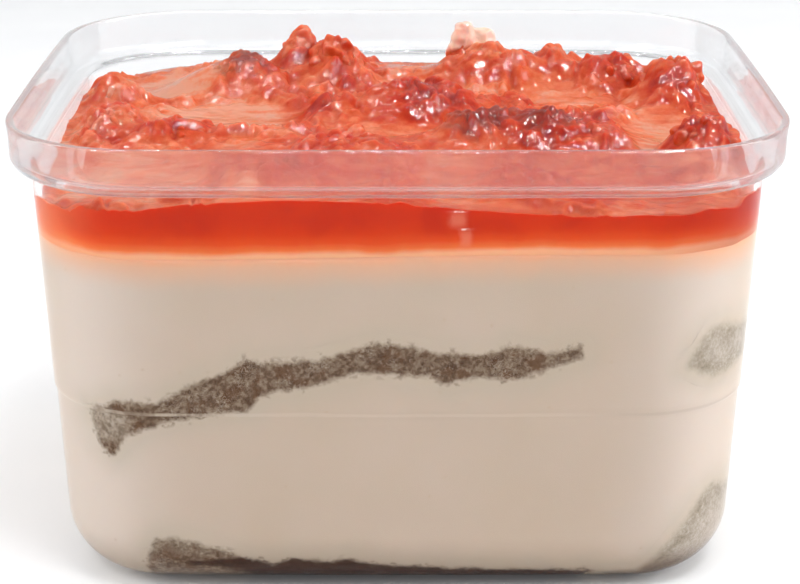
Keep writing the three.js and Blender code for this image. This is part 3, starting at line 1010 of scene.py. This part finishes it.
def make_jam_piece():
    chips = scatter_chips()
    points, faces = fill_tub(
        JAM_COLUMNS,
        JAM_ROWS,
        top=lambda x, y: jam_skin(x, y, chips)[0],
        bottom=lambda x: cream_surface(x) - JAM_SINK,
        shares=np.append(0.985, np.linspace(0.9, 0, 10)),
        depth=JAM_DEPTH,
        sunk=CREAM_DEPTH - JAM_DEPTH + 0.06,
    )
    piece = make_piece("jam_body", points, faces, "jam", make_jam("jam"))
    piece.data.materials.append(make_jam_at_wall())
    at_wall = np.arange(len(faces)) >= JAM_COLUMNS * JAM_ROWS
    piece.data.polygons.foreach_set("material_index", at_wall.astype(np.int32))
    x, y, z = points.T
    _, relief, tone, chunky = jam_skin(x, y, chips)
    redness, brown = jam_tint(x, y)
    # Steep places are made redder and less brown, partly for thicker jam and partly as painted shade on
    # flanks and painted sheen on flat tops; hollows between small lumps are made redder as painted
    # shade.
    steep = steepness(piece)
    add_values(
        piece,
        redness=redness - 0.08 * relief + tone + 0.24 * steep + 0.08 * chunky,
        brownness=brown - 0.45 * steep,
        chunky=chunky,
        paleness=np.zeros(len(points)),
        above_cream=z - cream_surface(x),
    )


def wet_share(node, x, z):
    """How soaked and dark the crumb is. Below 0 it lies under a film of cream."""
    if node == "sponge_base_side":
        return 1.15 * (1 - ease(z, 0.5, 9.0))
    if node == "sponge_base_wide":
        stripe = np.exp(-(((z - 4.6) / 0.9) ** 2)) * ease(x, -32, -28)
        return 1.7 * ease(x, -28, -14) + 1.05 * stripe - 0.25 - 0.15 * ease(z, 5, 9)
    if node == "sponge_middle_wide":
        tail = ease(-x, 34, 39) * ease(-z, -28.5, -27)
        return -0.6 * tail * ease(z, 21.5, 24.5)
    return np.zeros(np.shape(z))


def make_sponge_piece(spec, seed):
    """A bent sheet whose face lies on the tub's wall, with a finely cut skin there."""
    node, wall, (first, last), upper, lower = spec
    at_front = wall == "front"
    q0 = q_at(first - CRUMB_MARGIN, 0)
    q1 = q_at(last + CRUMB_MARGIN, 0 if at_front else 1)

    def place(u, v, w):
        """u runs along the wall, v from the wall into the cream, and w up."""
        q = q0 + (q1 - q0) * u
        face_x = outline(q, wall_inset(SHEET_HEIGHT, SPONGE_DEPTH))[0]
        high = np.maximum(along(upper, face_x), CREAM_DEPTH + 0.6) + CRUMB_MARGIN
        low = np.maximum(along(lower, face_x) - CRUMB_MARGIN, SPONGE_DEPTH)
        z = low + (high - low) * w
        inside = inside_sheet(spec, *outline(q, wall_inset(z, SPONGE_DEPTH)), z)
        sunk = SUNK_MARGIN * (1 - ease(inside, -CRUMB_MARGIN, 0.0))
        x, y = outline(q, wall_inset(z, SPONGE_DEPTH + sunk))
        far_x, far_y = x, -y
        if not at_front:
            far_x, far_y = np.minimum(x, first) - LEAST_SHEET, y + LEAST_SHEET
        values = {
            "inside": inside,
            "wetness": wet_share(node, face_x, z),
            "near_sponge": ease(inside, -HALO, 0.0),
        }
        sway = SHEET_SWAY * noise(x, 40 * v, 0, 20, seed) * np.sin(math.pi * v)
        z = np.maximum(z + sway, SPONGE_DEPTH)
        return np.stack([x + (far_x - x) * v, y + (far_y - y) * v, z], axis=-1), values

    columns = int(abs(q1 - q0) * SIDE_LENGTH / SKIN_STEP)
    points, faces, values = box_lattice(place, (columns, 24, 28))
    name = node + "_crumb"
    material = make_soaked_sponge(name) if at_front else make_smeared_sponge(name)
    piece = make_piece(name, points, faces, node, material)
    piece.data.set_sharp_from_angle(angle=math.radians(SHARP_TURN))
    add_values(piece, **values)


def chunk_reach(directions, rng):
    """The reach of a rounded chunk with flat sides, for each direction."""
    k = np.arange(SIDES_OF_CHUNK)
    rise = 1 - 2 * (k + 0.5) / SIDES_OF_CHUNK
    turn = k * 2.4 + rng.uniform(0, 6)
    flat = np.sqrt(1 - rise**2)
    sides = np.stack([flat * np.cos(turn), flat * np.sin(turn), rise], axis=-1)
    sides += rng.normal(0, 0.18, sides.shape)
    sides /= np.linalg.norm(sides, axis=1)[:, None]
    close = np.clip(directions @ sides.T, 0, None) / rng.uniform(0.8, 1.05, SIDES_OF_CHUNK)
    return np.minimum((close**10).sum(axis=1) ** -0.1, 1.12)


def unit_ball():
    """The points and faces of a fine ball of radius 1."""
    ball = bmesh.new()
    bmesh.ops.create_icosphere(ball, subdivisions=6, radius=1)
    ball.verts.index_update()
    directions = np.array([corner.co[:] for corner in ball.verts])
    faces = [[corner.index for corner in face.verts] for face in ball.faces]
    ball.free()
    return directions, faces


def chunk_relief(fruit, seed, body):
    """How far its relief raises each point of a lump, and how much of that is folds."""
    x, y, z = (body * np.array(fruit.half) + np.array([*fruit.place, 0])).T
    warp = 0.8 * noise(x, y, z, 3.0, seed + 5)
    bulge = 0.4 * two_octaves(x + warp, y, z, 3.6, seed)
    crease = np.abs(two_octaves(x, y + warp, z, 2.6, seed + 1))
    rough = roughness_of(fruit)
    folds = rough * (1.0 - 0.5 * fruit.brown) * (crease - 0.4)
    if fruit.pale > PALE:
        folds = 0.5 * (0.5 - crease)
    fine = 0.45 * rough * ridges(x, y, z, 1.3, seed + 2)
    return bulge + folds + fine, folds


def roughness_of(fruit):
    """How much relief a lump has: less on the pale one and on a tall one."""
    if fruit.pale > PALE:
        return 0.35
    return 0.5 if fruit.half[2] > TALL else 1.0


def keep_inside_tub(points):
    inset = float(wall_inset(JAM_TOP, JAM_DEPTH + 0.1))
    for axis, size in enumerate((RIM_WIDTH, RIM_DEPTH)):
        points[:, axis] = np.clip(points[:, axis], inset - size / 2, size / 2 - inset)


def make_fruit_piece(index, ball, material):
    """A soft ragged lump with wet folds."""
    fruit = FRUIT[index]
    directions, faces = ball
    body = directions * chunk_reach(directions, np.random.default_rng(300 + index))[:, None]
    relief, folds = chunk_relief(fruit, 200 + 7 * index, body)
    room = np.cbrt(np.prod(fruit.half)) / 4.2
    points = body * np.array(fruit.half) + directions * (relief * room)[:, None]
    points += np.array([*fruit.place, fruit.top - fruit.half[2]])
    points[:, 2] += (fruit.top + 0.3) - points[:, 2].max()
    x, y, z = points.T
    points[:, 2] += fan_folds(x, y) * (z > jam_level(x, y))
    keep_inside_tub(points)
    name = f"fruit_{index + 1:02d}"
    piece = make_piece(name + "_lump", points, faces, name, material)
    x, y, z = points.T
    out = ease(z - jam_level(x, y), -0.4, 2.0)
    jam_red, jam_brown = jam_tint(x, y)
    # Steep flanks and hollows between folds are made redder, partly for thicker fruit and partly as
    # painted shade; the crown is made browner and steep flanks less brown as painted sheen on the top.
    steep = steepness(piece)
    own_red = 0.16 + 0.4 * fruit.red - 0.2 * folds + 0.24 * steep
    sheen_on_crown = ease(z, fruit.top - 2.5, fruit.top)
    own_brown = fruit.brown * (0.6 + 0.5 * sheen_on_crown) - 0.45 * steep
    add_values(
        piece,
        chunky=np.full(len(points), 0.9 * roughness_of(fruit)),
        redness=jam_red + (own_red - jam_red) * out,
        brownness=jam_brown + (own_brown - jam_brown) * out,
        paleness=(fruit.pale + 0.15 * fruit.pale * out) * out,
    )


# The room: floor, lights and camera.


def make_floor():
    bpy.ops.mesh.primitive_plane_add(size=6, location=(0, 0, 0))
    floor = bpy.context.object
    floor.name = "floor"
    n = Nodes("pale_floor")
    n.set(Base_Color=n.ramp(n.noise(40, detail=2), [(0.3, (246, 246, 247)), (0.7, (250, 250, 250))]))
    n.set(Roughness=0.55, Specular_IOR_Level=0.3)
    floor.data.materials.append(n.material)


def add_light(name, place, aim_height, size, power):
    light = bpy.data.lights.new(name, "AREA")
    light.shape = "RECTANGLE"
    light.size, light.size_y = size
    light.energy = power
    holder = bpy.data.objects.new(name, light)
    holder.location = place
    towards = Vector((0, 0, aim_height)) - Vector(place)
    holder.rotation_euler = towards.to_track_quat("-Z", "Y").to_euler()
    scene.collection.objects.link(holder)
    return holder


def make_sky():
    world = bpy.data.worlds.new("studio")
    scene.world = world
    world.use_nodes = True
    tree = world.node_tree
    place = tree.nodes.new("ShaderNodeTexCoord")
    towards = tree.nodes.new("ShaderNodeVectorMath")
    towards.operation = "DOT_PRODUCT"
    towards.inputs[1].default_value = (0, 0.1, 1)
    tree.links.new(place.outputs["Generated"], towards.inputs[0])
    ramp = tree.nodes.new("ShaderNodeValToRGB")
    set_stops(ramp.color_ramp, [(at, (strength,) * 3) for at, strength in SKY])
    tree.links.new(towards.outputs["Value"], ramp.inputs["Fac"])
    tree.links.new(ramp.outputs["Color"], tree.nodes["Background"].inputs["Strength"])
    tree.nodes["Background"].inputs["Color"].default_value = (0.97, 0.985, 1.0, 1)


def light_room():
    make_sky()
    for name, (place, aim_height, size, power, mirrored) in SOFTBOXES.items():
        add_light(name, place, aim_height, size, power).visible_glossy = mirrored
    for name, (place, size, power) in GLINTS.items():
        add_light(name, place, GLINT_AIM, size, power).visible_diffuse = False


def add_camera():
    camera = bpy.data.cameras.new("camera")
    camera.lens = CAMERA_LENS
    camera.shift_x = CAMERA_SHIFT
    camera.clip_start = 0.02
    holder = bpy.data.objects.new("camera", camera)
    holder.location = CAMERA_PLACE
    holder.rotation_euler = (math.radians(90 - CAMERA_PITCH), 0, 0)
    scene.collection.objects.link(holder)
    scene.camera = holder


def set_look():
    scene.view_settings.view_transform = "Standard"
    scene.view_settings.look = "None"
    scene.cycles.use_denoising = True
    scene.cycles.caustics_reflective = False
    scene.cycles.caustics_refractive = False
    scene.cycles.max_bounces = 20
    scene.cycles.transmission_bounces = 18
    scene.cycles.transparent_max_bounces = 16
    scene.cycles.sample_clamp_indirect = 6


add_camera()
set_look()
make_floor()
light_room()
make_tub()
make_cream_piece()
for number, sponge in enumerate(SPONGES):
    make_sponge_piece(sponge, seed=91 + number)
make_jam_piece()
fruit_material = make_jam("fruit")
fine_ball = unit_ball()
for number in range(len(FRUIT)):
    make_fruit_piece(number, fine_ball, fruit_material)
